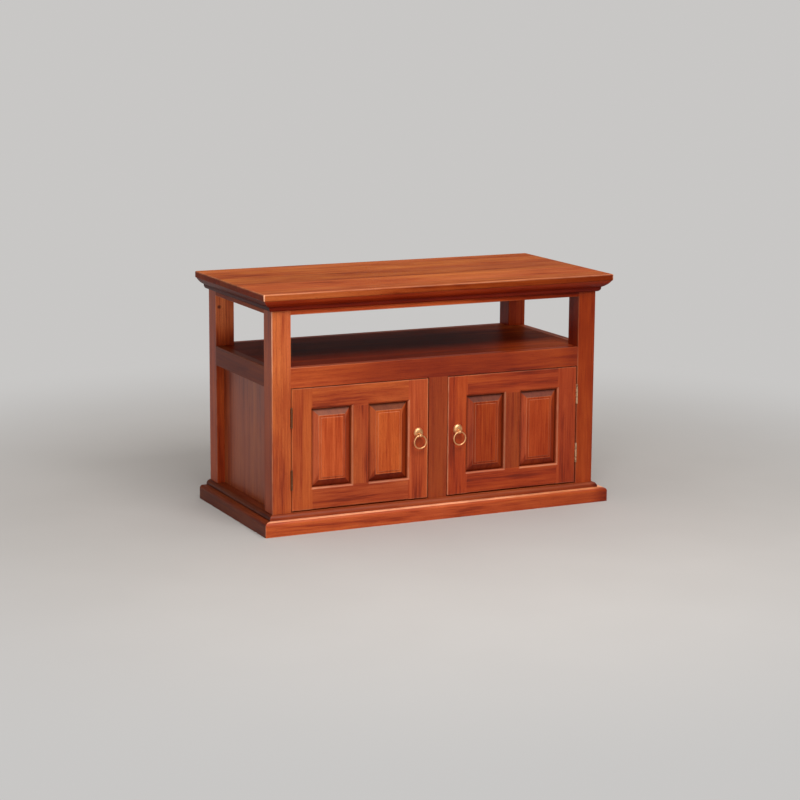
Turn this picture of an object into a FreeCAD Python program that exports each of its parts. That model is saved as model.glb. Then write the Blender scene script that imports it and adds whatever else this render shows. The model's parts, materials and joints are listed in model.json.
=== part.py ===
import FreeCAD, Part
import math
import os

# Television stand: an open bay above a cupboard with two panelled doors, a moulded top and a plinth.
# Millimetres. The origin is on the floor under the middle of the top board.
# +X is to the right, +Y to the back and +Z up. Handed pieces are built on the left and mirrored.

# Overall size, over the top board
overall_width = 970.0
overall_depth = 474.0
overall_height = 600.0

# Top board and how far it stands out past the posts
top_thickness = 17.0
top_overhang = 33.0
top_rear_overhang = 11.0
top_arris = 3.0

# Cornice under the top: an ovolo, a fillet and a bead
ovolo_height = 18.0
ovolo_bulge = 2.0
cornice_fillet = 2.0
cornice_bead_radius = 10.0

# Posts and rails
post_width = 50.0
post_arris = 2.5
rail_thickness = 22.0
rail_arris = 1.5
frieze_height = 41.0
bay_height = 131.0
mid_rail_height = 50.0
bottom_rail_clearance = 6.0
centre_stile_width = 52.0

# Mortise and tenon joints
tenon_length = 15.0
tenon_thickness = 8.0
tenon_shoulder = 6.0
joint_fit = 0.2

# Boards, panels and the cleats that carry them
shelf_thickness = 18.0
floor_thickness = 12.0
side_panel_thickness = 10.0
back_panel_thickness = 8.0
panel_housing = 10.0
board_fit = 0.3
cleat_width = 18.0
cleat_end_gap = 20.0

# Plinth with a quarter-round bead on its ledge
plinth_projection = 30.0
plinth_height = 36.0
plinth_arris = 8.5
plinth_bead_radius = 11.0
plinth_bead_fillet = 2.0

# Doors: grooved frames round raised panels
door_gap = 2.0
door_foot_gap = 4.0
door_thickness = 22.0
door_stile_width = 55.0
door_rail_width = 54.0
muntin_width = 48.0
door_arris = 2.0
light_splay = 4.0
groove_setback = 10.5
groove_width = 6.5
groove_depth = 10.0
panel_float = 1.0
panel_bevel_width = 18.0
panel_bevel_rise = 8.0
panel_ledge_width = 6.0
panel_ledge_step = 0.8
panel_field_step = 1.6
panel_field_arris = 0.8

# Butt hinges
hinge_length = 50.0
hinge_inset_top = 47.0
hinge_inset_bottom = 53.0
leaf_width = 18.0
leaf_thickness = 1.5
knuckle_count = 5
knuckle_radius = 2.2
knuckle_gap = 0.3
hinge_clearance = 0.3
hinge_pin_radius = 1.0
pin_running_fit = 0.05
pin_tight_fit = 0.02
pin_head_radius = 1.7
pin_head_height = 1.2

# Ring pulls
pull_above_door_bottom = 169.5
rosette_radius = 13.0
rosette_rim = 1.5
rosette_height = 6.5
rosette_crown_radius = 4.0
eye_projection = 12.5
eye_drop = 5.5
eye_radius = 4.5
eye_hole_radius = 2.5
eye_neck_radius = 2.6
ring_radius = 16.5
ring_wire_radius = 1.8
stud_radius = 2.5
stud_end = 4.0

# Door catches
catch_width = 44.0
catch_depth = 14.0
catch_drop = 20.0
catch_foot = 10.0
catch_arris = 2.0
catch_gap = 0.3
strike_width = 30.0
strike_height = 12.0
strike_thickness = 1.2

# Places that follow from the sizes above
half_width = overall_width / 2 - top_overhang
inner_x = half_width - post_width
front_y = -overall_depth / 2 + top_overhang
rear_y = overall_depth / 2 - top_rear_overhang
front_inner_y = front_y + post_width
rear_inner_y = rear_y - post_width
carcase_top = overall_height - top_thickness
ovolo_projection = top_overhang - top_arris
frieze_bottom = carcase_top - frieze_height
shelf_top = frieze_bottom - bay_height
shelf_bottom = shelf_top - shelf_thickness
mid_rail_bottom = shelf_top - mid_rail_height
base_top = plinth_height + plinth_bead_fillet + plinth_bead_radius
floor_bottom = base_top - floor_thickness
panel_low = floor_bottom - cleat_width
panel_high = shelf_bottom - cleat_width
rail_back_y = front_y + rail_thickness
rear_rail_y = rear_y - rail_thickness
side_panel_x = half_width - rail_thickness
back_panel_y = rear_rail_y - back_panel_thickness

door_bottom = base_top + door_foot_gap
door_top = mid_rail_bottom - door_gap
door_left_x = -inner_x + door_gap
door_right_x = -centre_stile_width / 2 - door_gap
door_back_y = front_y + door_thickness
lock_stile_x = door_right_x - door_stile_width
hinge_stile_x = door_left_x + door_stile_width
light_low = door_bottom + door_rail_width
light_high = door_top - door_rail_width
muntin_left_x = (hinge_stile_x + lock_stile_x - muntin_width) / 2
muntin_right_x = muntin_left_x + muntin_width
door_lights = ((hinge_stile_x, muntin_left_x), (muntin_right_x, lock_stile_x))
groove_front_y = front_y + groove_setback
groove_back_y = groove_front_y + groove_width

hinge_x = -inner_x + door_gap / 2
hinge_y = front_y - knuckle_radius - hinge_clearance
lower_hinge_z = door_bottom + hinge_inset_bottom
upper_hinge_z = door_top - hinge_inset_top - hinge_length
hinge_heights = (lower_hinge_z, upper_hinge_z)

left_pull_x = (lock_stile_x + door_right_x) / 2
pull_z = door_bottom + pull_above_door_bottom
eye_y = front_y - eye_projection
eye_z = pull_z - eye_drop

same_place = 0.001
across = FreeCAD.Vector(1, 0, 0)
back = FreeCAD.Vector(0, 1, 0)
up = FreeCAD.Vector(0, 0, 1)


def box(low, high):
    """A block between its lowest and highest corners."""
    size = [b - a for a, b in zip(low, high)]
    return Part.makeBox(size[0], size[1], size[2], FreeCAD.Vector(*low))


def grown(low, high, by):
    """The same block with every face moved out."""
    return box([value - by for value in low], [value + by for value in high])


def fused(first, others):
    """Several touching or crossing solids as one clean solid."""
    return first.multiFuse(others).removeSplitter()


def mirrored(shape):
    """The right-hand piece of a left-hand one."""
    return shape.mirror(FreeCAD.Vector(0, 0, 0), across)


def rounded(shape, radius, *lines):
    """Rounds the straight edges that lie on each line, given as two of x, y and z."""
    chosen = []
    for line in lines:
        for edge in shape.Edges:
            ends = [vertex.Point for vertex in edge.Vertexes]
            misses = [abs(getattr(end, axis) - place) for end in ends for axis, place in line.items()]
            if max(misses) < same_place:
                chosen.append(edge)
    return shape.makeFillet(radius, chosen)


def save(name, *solids):
    """Writes one node: a single solid, or a group of separate ones."""
    shape = solids[0] if len(solids) == 1 else Part.makeCompound(solids)
    shape.exportStep("parts/" + name + ".step")


def save_pair(name, left):
    """Writes a left-hand piece and its mirror image, with the side put into the name."""
    save(name.format("left"), left)
    save(name.format("right"), mirrored(left))


def arc_step(centre, radius, start_angle, stop_angle):
    """An arc as the middle and end points that a moulding outline takes, angles in degrees."""
    points = []
    for angle in ((start_angle + stop_angle) / 2, stop_angle):
        turn = math.radians(angle)
        points.append((centre[0] + radius * math.cos(turn), centre[1] + radius * math.sin(turn)))
    return points


def section(start, steps, origin, outward):
    """A face from (out, up) points: a step of one point is a line, of two an arc through the first."""
    here = start
    edges = []
    for step in steps + [[start]]:
        points = [origin + outward * out + up * height for out, height in [here] + step]
        if len(points) == 2:
            edges.append(Part.makeLine(points[0], points[1]))
        else:
            edges.append(Part.Arc(points[0], points[1], points[2]).toShape())
        here = step[-1]
    return Part.Face(Part.Wire(edges))


def prism(corners):
    """An upright prism on a plan outline, as tall as the whole stand."""
    points = [FreeCAD.Vector(x, y, 0) for x, y in corners]
    return Part.Face(Part.makePolygon(points + points[:1])).extrude(up * overall_height)


def mitred(start, steps, projection, end_y):
    """A moulding round the front and sides, as its front and left lengths, mitred where they meet."""
    far_x = half_width + projection
    far_y = front_y - projection
    front_face = section(start, steps, FreeCAD.Vector(-far_x, front_y, 0), -back)
    left_face = section(start, steps, FreeCAD.Vector(-half_width, far_y, 0), -across)
    front_plan = [(-half_width, front_y), (-far_x, far_y), (far_x, far_y), (half_width, front_y)]
    left_plan = [(-half_width, front_y), (-half_width, end_y), (-far_x, end_y), (-far_x, far_y)]
    front = front_face.extrude(across * (2 * far_x)).common(prism(front_plan))
    left = left_face.extrude(back * (end_y - far_y)).common(prism(left_plan))
    return front.Solids[0], left.Solids[0]


def save_moulding(name, front, left):
    """Writes the front, left and right lengths of a moulding."""
    save(name + "_front", front)
    save_pair(name + "_{}", left)


def tenons(low, high, axis, thin, clearance):
    """Tenons on both ends of a member that is long along one axis and slim along another."""
    wide = 3 - axis - thin
    middle = (low[thin] + high[thin]) / 2
    reach = tenon_length + clearance
    pieces = []
    for near, far in ((low[axis] - reach, low[axis]), (high[axis], high[axis] + reach)):
        start = [0.0, 0.0, 0.0]
        stop = [0.0, 0.0, 0.0]
        start[axis] = near
        stop[axis] = far
        start[thin] = middle - tenon_thickness / 2 - clearance
        stop[thin] = middle + tenon_thickness / 2 + clearance
        start[wide] = low[wide] + tenon_shoulder - clearance
        stop[wide] = high[wide] - tenon_shoulder + clearance
        pieces.append(box(start, stop))
    return pieces


def rail_places(low_z, high_z):
    """The front, rear and left rails of one level: corners, long axis and slim axis."""
    return {
        "front": ((-inner_x, front_y, low_z), (inner_x, rail_back_y, high_z), 0, 1),
        "rear": ((-inner_x, rear_rail_y, low_z), (inner_x, rear_y, high_z), 0, 1),
        "left": ((-half_width, front_inner_y, low_z), (-side_panel_x, rear_inner_y, high_z), 1, 0),
    }


rail_levels = {
    "frieze_rail": (frieze_bottom, carcase_top),
    "mid_rail": (mid_rail_bottom, shelf_top),
    "bottom_rail": (bottom_rail_clearance, base_top),
}
outer_faces = {"front": ("y", front_y), "rear": ("y", rear_y), "left": ("x", -half_width)}
shown_edges = {"frieze_rail": frieze_bottom, "mid_rail": shelf_top}

centre_stile_place = (
    (-centre_stile_width / 2, front_y, base_top),
    (centre_stile_width / 2, rail_back_y, mid_rail_bottom),
    2,
    1,
)
post_places = {
    "front": ((-half_width, front_y, 0), (-inner_x, front_inner_y, carcase_top)),
    "rear": ((-half_width, rear_inner_y, 0), (-inner_x, rear_y, carcase_top)),
}
side_panel_place = (
    (-side_panel_x, front_inner_y - panel_housing + joint_fit, panel_low),
    (-side_panel_x + side_panel_thickness, rear_inner_y + panel_housing - joint_fit, panel_high),
)
back_panel_place = (
    (-inner_x - panel_housing + joint_fit, back_panel_y, panel_low),
    (inner_x + panel_housing - joint_fit, rear_rail_y, panel_high),
)


def leaf_recesses(low_x, high_x):
    """The recesses that take the hinge leaves, between two planes across the width."""
    recesses = []
    for hinge_z in hinge_heights:
        low = (low_x, front_y - joint_fit, hinge_z - joint_fit)
        high = (high_x, front_y + leaf_width + joint_fit, hinge_z + hinge_length + joint_fit)
        recesses.append(box(low, high))
    return recesses


def make_top():
    """The top board, softened along every arris."""
    corner = (overall_width / 2, overall_depth / 2)
    board = box((-corner[0], -corner[1], carcase_top), (corner[0], corner[1], overall_height))
    save("top_board", board.makeFillet(top_arris, board.Edges))


def make_cornice():
    """Ovolo, fillet and bead in one length of moulding, from the underside of the top downwards."""
    ovolo_bottom = carcase_top - ovolo_height
    bead_centre = (0, ovolo_bottom - cornice_fillet)
    run = ovolo_projection - cornice_bead_radius
    chord = math.hypot(run, ovolo_height)
    middle_out = cornice_bead_radius + run / 2 + ovolo_bulge * ovolo_height / chord
    middle_up = carcase_top - ovolo_height / 2 - ovolo_bulge * run / chord
    steps = [
        [(ovolo_projection, carcase_top)],
        [(middle_out, middle_up), (cornice_bead_radius, ovolo_bottom)],
        [(cornice_bead_radius, bead_centre[1])],
        arc_step(bead_centre, cornice_bead_radius, 0, -90),
    ]
    end_y = overall_depth / 2 - top_arris
    lengths = mitred((0, carcase_top), steps, ovolo_projection, end_y)
    save_moulding("cornice", *lengths)


def make_plinth():
    """The plinth with its rounded upper arris, and the quarter-round bead on its ledge."""
    arris_centre = (plinth_projection - plinth_arris, plinth_height - plinth_arris)
    board_steps = [
        [(plinth_projection, 0)],
        [(plinth_projection, arris_centre[1])],
        arc_step(arris_centre, plinth_arris, 0, 90),
        [(0, plinth_height)],
    ]
    save_moulding("plinth", *mitred((0, 0), board_steps, plinth_projection, rear_y))
    bead_centre = (0, plinth_height + plinth_bead_fillet)
    bead_steps = [
        [(plinth_bead_radius, plinth_height)],
        [(plinth_bead_radius, bead_centre[1])],
        arc_step(bead_centre, plinth_bead_radius, 0, 90),
    ]
    bead_lengths = mitred((0, plinth_height), bead_steps, plinth_bead_radius, rear_y)
    save_moulding("plinth_bead", *bead_lengths)


def make_rails():
    """Frieze, middle and bottom rails, tenoned into the posts and flush with their outer faces."""
    for level, (low_z, high_z) in rail_levels.items():
        for place, (low, high, axis, thin) in rail_places(low_z, high_z).items():
            rail = fused(box(low, high), tenons(low, high, axis, thin, 0))
            if level in shown_edges:
                face_axis, face = outer_faces[place]
                rail = rounded(rail, rail_arris, {face_axis: face, "z": shown_edges[level]})
            if place == "front":
                rail = rail.cut(Part.makeCompound(tenons(*centre_stile_place, joint_fit)))
            if place == "left":
                save_pair(level + "_{}", rail.Solids[0])
            else:
                save(level + "_" + place, rail.Solids[0])
    low, high, axis, thin = centre_stile_place
    save("centre_stile", fused(box(low, high), tenons(low, high, axis, thin, 0)))


def make_posts():
    """Posts from the floor to the top, mortised for rails, grooved for panels and recessed for hinges."""
    cuts = [grown(*side_panel_place, joint_fit), grown(*back_panel_place, joint_fit)]
    for low_z, high_z in rail_levels.values():
        for place in rail_places(low_z, high_z).values():
            cuts.extend(tenons(*place, joint_fit))
    cuts.extend(leaf_recesses(-inner_x - leaf_thickness, -inner_x + joint_fit))
    for place, (low, high) in post_places.items():
        face = outer_faces[place][1]
        post = rounded(box(low, high), post_arris, {"x": -half_width, "y": face})
        save_pair("post_" + place + "_{}", post.cut(cuts).Solids[0])


def make_boards():
    """Side panels, back panel, shelf and cupboard floor, and the cleats that hold the boards."""
    save_pair("side_panel_{}", box(*side_panel_place))
    save("back_panel", box(*back_panel_place))
    posts = [grown(low, high, board_fit) for low, high in post_places.values()]
    posts = posts + [mirrored(post) for post in posts]
    near_y = rail_back_y + board_fit
    edge_x = side_panel_x - board_fit
    shelf = box((-edge_x, near_y, shelf_bottom), (edge_x, rear_rail_y - board_fit, shelf_top))
    save("shelf_board", shelf.cut(posts).Solids[0])
    edge_x = side_panel_x - side_panel_thickness - board_fit
    floor = box((-edge_x, near_y, floor_bottom), (edge_x, back_panel_y - board_fit, base_top))
    save("cupboard_floor", floor.cut(posts).Solids[0])
    cleats = {
        "top_cleats": (carcase_top, rear_rail_y),
        "shelf_cleats": (shelf_bottom, rear_rail_y),
        "floor_cleats": (floor_bottom, back_panel_y),
    }
    cleat_x = inner_x - cleat_end_gap
    for name, (height, rear_face) in cleats.items():
        solids = []
        for face in (rail_back_y, rear_face - cleat_width):
            low = (-cleat_x, face, height - cleat_width)
            high = (cleat_x, face + cleat_width, height)
            solids.append(box(low, high))
        save(name, *solids)


def barrel(radius, low_z, high_z):
    """A cylinder on the left hinge line."""
    return Part.makeCylinder(radius, high_z - low_z, FreeCAD.Vector(hinge_x, hinge_y, low_z))


def hinge_leaf(leaf_x, hinge_z, first_knuckle, pin_fit):
    """A leaf with every second knuckle, cleared round the knuckles of the other leaf."""
    low = (leaf_x, hinge_y, hinge_z)
    high = (leaf_x + leaf_thickness, front_y + leaf_width, hinge_z + hinge_length)
    step = hinge_length / knuckle_count
    own = []
    other = []
    for index in range(knuckle_count):
        low_z = hinge_z + index * step
        high_z = low_z + step
        if index % 2 == first_knuckle:
            own.append(barrel(knuckle_radius, low_z + knuckle_gap / 2, high_z - knuckle_gap / 2))
        else:
            cleared = knuckle_radius + hinge_clearance
            other.append(barrel(cleared, low_z - knuckle_gap / 2, high_z + knuckle_gap / 2))
    leaf = fused(box(low, high).cut(other), own)
    return leaf.cut(barrel(hinge_pin_radius + pin_fit, hinge_z, hinge_z + hinge_length)).Solids[0]


def hinge_pin(hinge_z):
    """A plain pin with a button head that rests on the top knuckle."""
    top = hinge_z + hinge_length
    shank = barrel(hinge_pin_radius, hinge_z, top)
    head = barrel(pin_head_radius, top, top + pin_head_height)
    pin = fused(shank, [head])
    rim = [edge for edge in pin.Edges if abs(edge.BoundBox.ZMin - top - pin_head_height) < same_place]
    return pin.makeFillet(pin_head_height / 2, rim)


def make_hinges():
    """Fixed leaves and pins of all four hinges, and the moving leaves of each door."""
    fixed = [hinge_leaf(-inner_x - leaf_thickness, height, 0, pin_tight_fit) for height in hinge_heights]
    moving = [hinge_leaf(door_left_x, height, 1, pin_running_fit) for height in hinge_heights]
    pins = [hinge_pin(height) for height in hinge_heights]
    save("hinge_leaves_fixed", *fixed, *[mirrored(leaf) for leaf in fixed])
    save("hinge_pins", *pins, *[mirrored(pin) for pin in pins])
    save_pair("door_{}_hinge_leaves", Part.makeCompound(moving))


def groove(low, high, axis):
    """The groove along one inner edge of a frame member, cut right through its ends."""
    start = [low[0], groove_front_y, low[1]]
    stop = [high[0], groove_back_y, high[1]]
    start[axis] -= groove_depth
    stop[axis] += groove_depth
    return box(start, stop)


def tongue(low, high):
    """A stub tenon that fills a groove, given its corners in the plane of the door."""
    return box((low[0], groove_front_y + joint_fit, low[1]), (high[0], groove_back_y - joint_fit, high[1]))


def frame_block(low, high):
    """A door frame member, given its corners in the plane of the door."""
    return box((low[0], front_y, low[1]), (high[0], door_back_y, high[1]))


def light_block(light, near_inset, near_y, deep_inset, deep_y):
    """A block on a door light, drawn in by an inset at its near face and by another at its deep one."""
    left_x, right_x = light
    near_low = (left_x + near_inset, near_y, light_low + near_inset)
    near_high_x = right_x - near_inset
    near_high_z = light_high - near_inset
    deep_low = (light_low + deep_inset, left_x + deep_inset)
    deep_high = (light_high - deep_inset, right_x - deep_inset)
    return Part.makeWedge(*near_low, *deep_low, near_high_x, deep_y, near_high_z, *deep_high)


def splayed(member):
    """A frame member with the splay round both lights cut into it, so that the corners mitre."""
    near_y = front_y - light_splay
    deep_y = front_y + light_splay
    cuts = [light_block(light, -2 * light_splay, near_y, 0, deep_y) for light in door_lights]
    return member.cut(cuts).Solids[0]


def raised_panel(light):
    """A panel whose tongue sits in the grooves, with bevels that rise to a ledge and a stepped field."""
    left_x, right_x = light
    tongue_reach = groove_depth - panel_float
    tongue_y = groove_front_y + joint_fit
    bevel_y = tongue_y - panel_bevel_rise
    ledge_y = bevel_y - panel_ledge_step
    field_y = ledge_y - panel_field_step
    field_inset = panel_bevel_width + panel_ledge_width
    plate_low = (left_x - tongue_reach, light_low - tongue_reach)
    plate_high = (right_x + tongue_reach, light_high + tongue_reach)
    plate = tongue(plate_low, plate_high)
    bevels = light_block(light, panel_bevel_width, bevel_y, 0, tongue_y)
    ledge = light_block(light, panel_bevel_width, ledge_y, panel_bevel_width, bevel_y)
    field = light_block(light, field_inset, field_y, field_inset, ledge_y)
    return rounded(
        fused(plate, [bevels, ledge, field]),
        panel_field_arris,
        {"y": field_y, "x": left_x + field_inset},
        {"y": field_y, "x": right_x - field_inset},
        {"y": field_y, "z": light_low + field_inset},
        {"y": field_y, "z": light_high - field_inset},
    )


def make_door():
    """A door: two stiles, two rails and a muntin, grooved round two raised panels."""
    tongue_length = groove_depth - joint_fit
    hinge_stile = frame_block((door_left_x, door_bottom), (hinge_stile_x, door_top))
    hinge_stile = rounded(hinge_stile, door_arris, {"x": door_left_x, "y": front_y})
    cuts = [groove((hinge_stile_x - groove_depth, door_bottom), (hinge_stile_x, door_top), 2)]
    cuts.extend(leaf_recesses(door_left_x - joint_fit, door_left_x + leaf_thickness))
    save_pair("door_{}_hinge_stile", splayed(hinge_stile.cut(cuts)))

    lock_stile = frame_block((lock_stile_x, door_bottom), (door_right_x, door_top))
    lock_stile = rounded(lock_stile, door_arris, {"x": door_right_x, "y": front_y})
    stud_hole = Part.makeCylinder(
        stud_radius + joint_fit, door_thickness, FreeCAD.Vector(left_pull_x, front_y, pull_z), back
    )
    strike_low, strike_high = strike_place()
    lock_stile = lock_stile.cut([
        groove((lock_stile_x, door_bottom), (lock_stile_x + groove_depth, door_top), 2),
        stud_hole,
        box(strike_low, strike_high),
    ])
    save_pair("door_{}_lock_stile", splayed(lock_stile))

    rails = {
        "top_rail": (light_high, door_top, light_high, light_high + groove_depth, door_top),
        "bottom_rail": (door_bottom, light_low, light_low - groove_depth, light_low, door_bottom),
    }
    for name, (low_z, high_z, groove_low, groove_high, outer_z) in rails.items():
        rail = frame_block((hinge_stile_x, low_z), (lock_stile_x, high_z))
        rail = rounded(rail, door_arris, {"y": front_y, "z": outer_z})
        ends = tongue((hinge_stile_x - tongue_length, low_z), (lock_stile_x + tongue_length, high_z))
        rail = fused(rail, [ends])
        rail = rail.cut(groove((hinge_stile_x, groove_low), (lock_stile_x, groove_high), 0))
        save_pair("door_{}_" + name, splayed(rail))

    muntin = frame_block((muntin_left_x, light_low), (muntin_right_x, light_high))
    ends = tongue((muntin_left_x, light_low - tongue_length), (muntin_right_x, light_high + tongue_length))
    muntin = fused(muntin, [ends]).cut([
        groove((muntin_left_x, light_low), (muntin_left_x + groove_depth, light_high), 2),
        groove((muntin_right_x - groove_depth, light_low), (muntin_right_x, light_high), 2),
    ])
    save_pair("door_{}_muntin", splayed(muntin))

    for name, light in zip(("outer", "inner"), door_lights):
        save_pair("door_{}_" + name + "_panel", raised_panel(light))


def strike_place():
    """Corners of the strike plate, let in flush at the top of the lock stile's back."""
    middle_z = door_top - catch_drop / 2
    low = (left_pull_x - strike_width / 2, door_back_y - strike_thickness, middle_z - strike_height / 2)
    high = (left_pull_x + strike_width / 2, door_back_y, middle_z + strike_height / 2)
    return low, high


def make_catches():
    """A catch case fixed to the back of the middle rail behind each door, and the strike on the door."""
    magnet_y = door_back_y + catch_gap
    rear_face = max(magnet_y, rail_back_y) + catch_depth
    low_x = left_pull_x - catch_width / 2
    high_x = left_pull_x + catch_width / 2
    low_z = door_top - catch_drop
    high_z = mid_rail_bottom + catch_foot
    magnet = box((low_x, magnet_y, low_z), (high_x, rear_face, door_top))
    foot = box((low_x, rail_back_y, door_top), (high_x, rear_face, high_z))
    case = fused(magnet, [foot])
    case = rounded(case, catch_arris, {"y": rear_face, "z": low_z}, {"y": rear_face, "z": high_z})
    save("catch_cases", case, mirrored(case))
    save_pair("door_{}_catch_strike", box(*strike_place()))


def make_pull(side, pull_x):
    """A turned rosette with a drilled eye and a stud through the stile, and the ring hung in the eye."""
    crown_out = rosette_rim + (rosette_height - rosette_rim) * math.sqrt(0.5)
    crown_radius = rosette_crown_radius + (rosette_radius - rosette_crown_radius) * math.sqrt(0.5)
    centre = FreeCAD.Vector(pull_x, front_y, pull_z)

    def at(radius, out):
        """A point of the rosette's section."""
        return centre + across * radius - back * out

    rim_edge = at(rosette_radius, rosette_rim)
    crown_edge = at(rosette_crown_radius, rosette_height)
    edges = [
        Part.makeLine(at(0, 0), at(rosette_radius, 0)),
        Part.makeLine(at(rosette_radius, 0), rim_edge),
        Part.Arc(rim_edge, at(crown_radius, crown_out), crown_edge).toShape(),
        Part.makeLine(crown_edge, at(0, rosette_height)),
        Part.makeLine(at(0, rosette_height), at(0, 0)),
    ]
    dome = Part.Face(Part.Wire(edges)).revolve(centre, back, 360)
    stud = Part.makeCylinder(stud_radius, door_thickness + stud_end, centre, back)
    eye = FreeCAD.Vector(pull_x, eye_y, eye_z)
    neck_start = centre - back * (rosette_height / 2)
    neck_line = eye - neck_start
    neck = Part.makeCylinder(eye_neck_radius, neck_line.Length, neck_start, neck_line)
    ball = Part.makeSphere(eye_radius, eye)
    hole = Part.makeCylinder(eye_hole_radius, 2 * eye_radius, eye - across * eye_radius, across)
    rosette = fused(dome, [stud, neck, ball]).cut(hole)
    save("door_" + side + "_pull_rosette", rosette.Solids[0])
    save("pull_ring_" + side, Part.makeTorus(ring_radius, ring_wire_radius, eye - up * ring_radius, back))


os.makedirs("parts", exist_ok=True)
make_top()
make_cornice()
make_plinth()
make_rails()
make_posts()
make_boards()
make_hinges()
make_door()
make_catches()
make_pull("left", left_pull_x)
make_pull("right", -left_pull_x)
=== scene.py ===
"""Television stand in red-brown lacquered wood with brass fittings: finishes, small fixings and light."""

import json
import math
from typing import NamedTuple

import bpy
import numpy as np
from mathutils import Matrix, Vector


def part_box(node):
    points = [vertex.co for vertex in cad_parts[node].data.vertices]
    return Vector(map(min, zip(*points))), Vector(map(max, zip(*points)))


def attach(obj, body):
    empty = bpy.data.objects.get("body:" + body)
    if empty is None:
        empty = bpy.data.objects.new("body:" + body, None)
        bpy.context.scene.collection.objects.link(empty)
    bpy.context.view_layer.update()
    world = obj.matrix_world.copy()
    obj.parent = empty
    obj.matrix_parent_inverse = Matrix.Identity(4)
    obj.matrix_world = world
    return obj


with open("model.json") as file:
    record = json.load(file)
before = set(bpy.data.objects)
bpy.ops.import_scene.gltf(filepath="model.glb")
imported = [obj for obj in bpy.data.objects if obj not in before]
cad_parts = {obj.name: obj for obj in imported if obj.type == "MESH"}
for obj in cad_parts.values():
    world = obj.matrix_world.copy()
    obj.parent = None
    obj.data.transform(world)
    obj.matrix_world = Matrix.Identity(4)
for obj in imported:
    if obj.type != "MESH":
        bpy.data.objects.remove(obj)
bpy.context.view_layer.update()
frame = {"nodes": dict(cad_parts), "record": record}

# Axes, and the faces of a box as an axis and its lower or higher end
X, Y, Z = 0, 1, 2
LEFT, RIGHT, FRONT, REAR, BOTTOM, TOP = (X, 0), (X, 1), (Y, 0), (Y, 1), (Z, 0), (Z, 1)
SIDE_FACES = {"front": FRONT, "rear": REAR, "left": LEFT, "right": RIGHT}


class Lamp(NamedTuple):
    """An elliptical lamp: place, aim, width and height in metres, and power in watts."""

    place: Vector
    aim: Vector
    width: float
    height: float
    power: float


class Figure(NamedTuple):
    """One scale of the figure: cells per metre along and across the grain, and its share in the tone."""

    along: float
    across: float
    detail: float = 2.0
    rough: float = 0.5
    share: float = 0.0


class Arris(NamedTuple):
    """A pale arris where two faces of a box meet: wear, and on some a painted highlight. With one face given
    twice, the whole face is pale.
    """

    first: tuple
    second: tuple
    wear: float


class Shade(NamedTuple):
    """A change along an axis, in metres: 1 up to the start, and the factor past the end."""

    axis: int
    start: float
    end: float
    factor: float


class FaceTone(NamedTuple):
    """A tone on one face alone, which changes along an axis from a first factor to a last one. Most paint
    light and shade on that face.
    """

    face: tuple
    axis: int
    start: float
    end: float
    first: float
    last: float


class Bevels(NamedTuple):
    """Painted light and shade on a door panel's bevels: the tone of the lit ones and of the shaded ones, and
    what the lowest loses; then their dusting and painted sheen.
    """

    lit: float
    dark: float
    loss: float
    dust_and_sheen: float


class DoorLook(NamedTuple):
    """Tones of a door and of its boards, how far its stain leans to orange, and its panels' bevels with their
    painted light and shade.
    """

    tone: float
    orange: float
    muntin: float
    bottom_rail: float
    outer_panel: float
    inner_panel: float
    outer_bevels: Bevels
    inner_bevels: Bevels


class Board(NamedTuple):
    """How one node is cut from the wood and finished.

    grain is the axis of the grain, tone the strength of the stain, and orange how far it leans from red to
    orange. arrises are paled down to the depths in reach, in metres, by wear and on some by a painted
    highlight, and fading weakens that. planks counts the planks that are glued side by side, or is 0.
    openings are the door openings that the board goes round or fills, as left, right, bottom and top, and
    only a panel has bevels, with their painted light and shade. gloss is the strength of the shine. shades
    change the tone along an axis and faces on one face; most of them paint light and shade. knot is the
    centre of a knot.
    """

    grain: int
    tone: float
    orange: float = 1.0
    arrises: tuple = ()
    reach: tuple = (0.0006, 0.0030)
    fading: tuple = ()
    planks: int = 0
    openings: tuple = ()
    bevels: tuple = ()
    gloss: float = 1.0
    shades: tuple = ()
    faces: tuple = ()
    knot: tuple = ()


# Camera, in metres and degrees: it looks at a point on the stand from the front left and a little above
CAMERA_AIM = Vector((-0.0042, 0.0110, 0.2638))
CAMERA_AZIMUTH = -25.539
CAMERA_ELEVATION = 10.965
CAMERA_DISTANCE = 5.762
CAMERA_ROLL = 0.379
SENSOR_WIDTH_MM = 36.0
LENS_MM = 99.40

# Floor dish, in metres: flat rings, then a sweep round a quarter circle, then a wall
FLOOR_RINGS = (0.01, 2.0, 5.0)
FLOOR_RADIUS = 8.0
FLOOR_SIDES = 96
SWEEP_RADIUS = 1.2
SWEEP_STEPS = 16
WALL_TOP = 3.2
FLOOR_PALE = (0.50, 0.475, 0.455)
FLOOR_SHADE = (0.46, 0.435, 0.415)
FLOOR_SPECULAR = 0.2

# Glow of the far floor and the wall, which keep no shadow; distances in metres. Mirror rays see the glow
# up to a height only, because a taller bright wall lays a grey sheen on the top board
FAR_GLOW = (0.58, 0.57, 0.56)
GLOW_RANGE = (0.7, 2.2)
MIRROR_TOP = 1.3
MIRROR_FADE = 0.05

# Lamps, then the sky at the horizon and overhead and the heights between which it brightens
LAMPS = {
    "key": Lamp(
        Vector((-0.20, -1.90, 2.35)), Vector((-0.05, 0.0, 0.30)), width=1.7, height=1.1, power=52.0
    ),
    "window": Lamp(
        Vector((-2.10, -3.10, 0.95)), Vector((-0.10, 0.0, 0.30)), width=1.3, height=1.1, power=24.0
    ),
}
SKY_HORIZON = (0.085, 0.083, 0.080)
SKY_ZENITH = (1.15, 1.13, 1.10)
SKY_RANGE = (0.45, 0.95)
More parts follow.
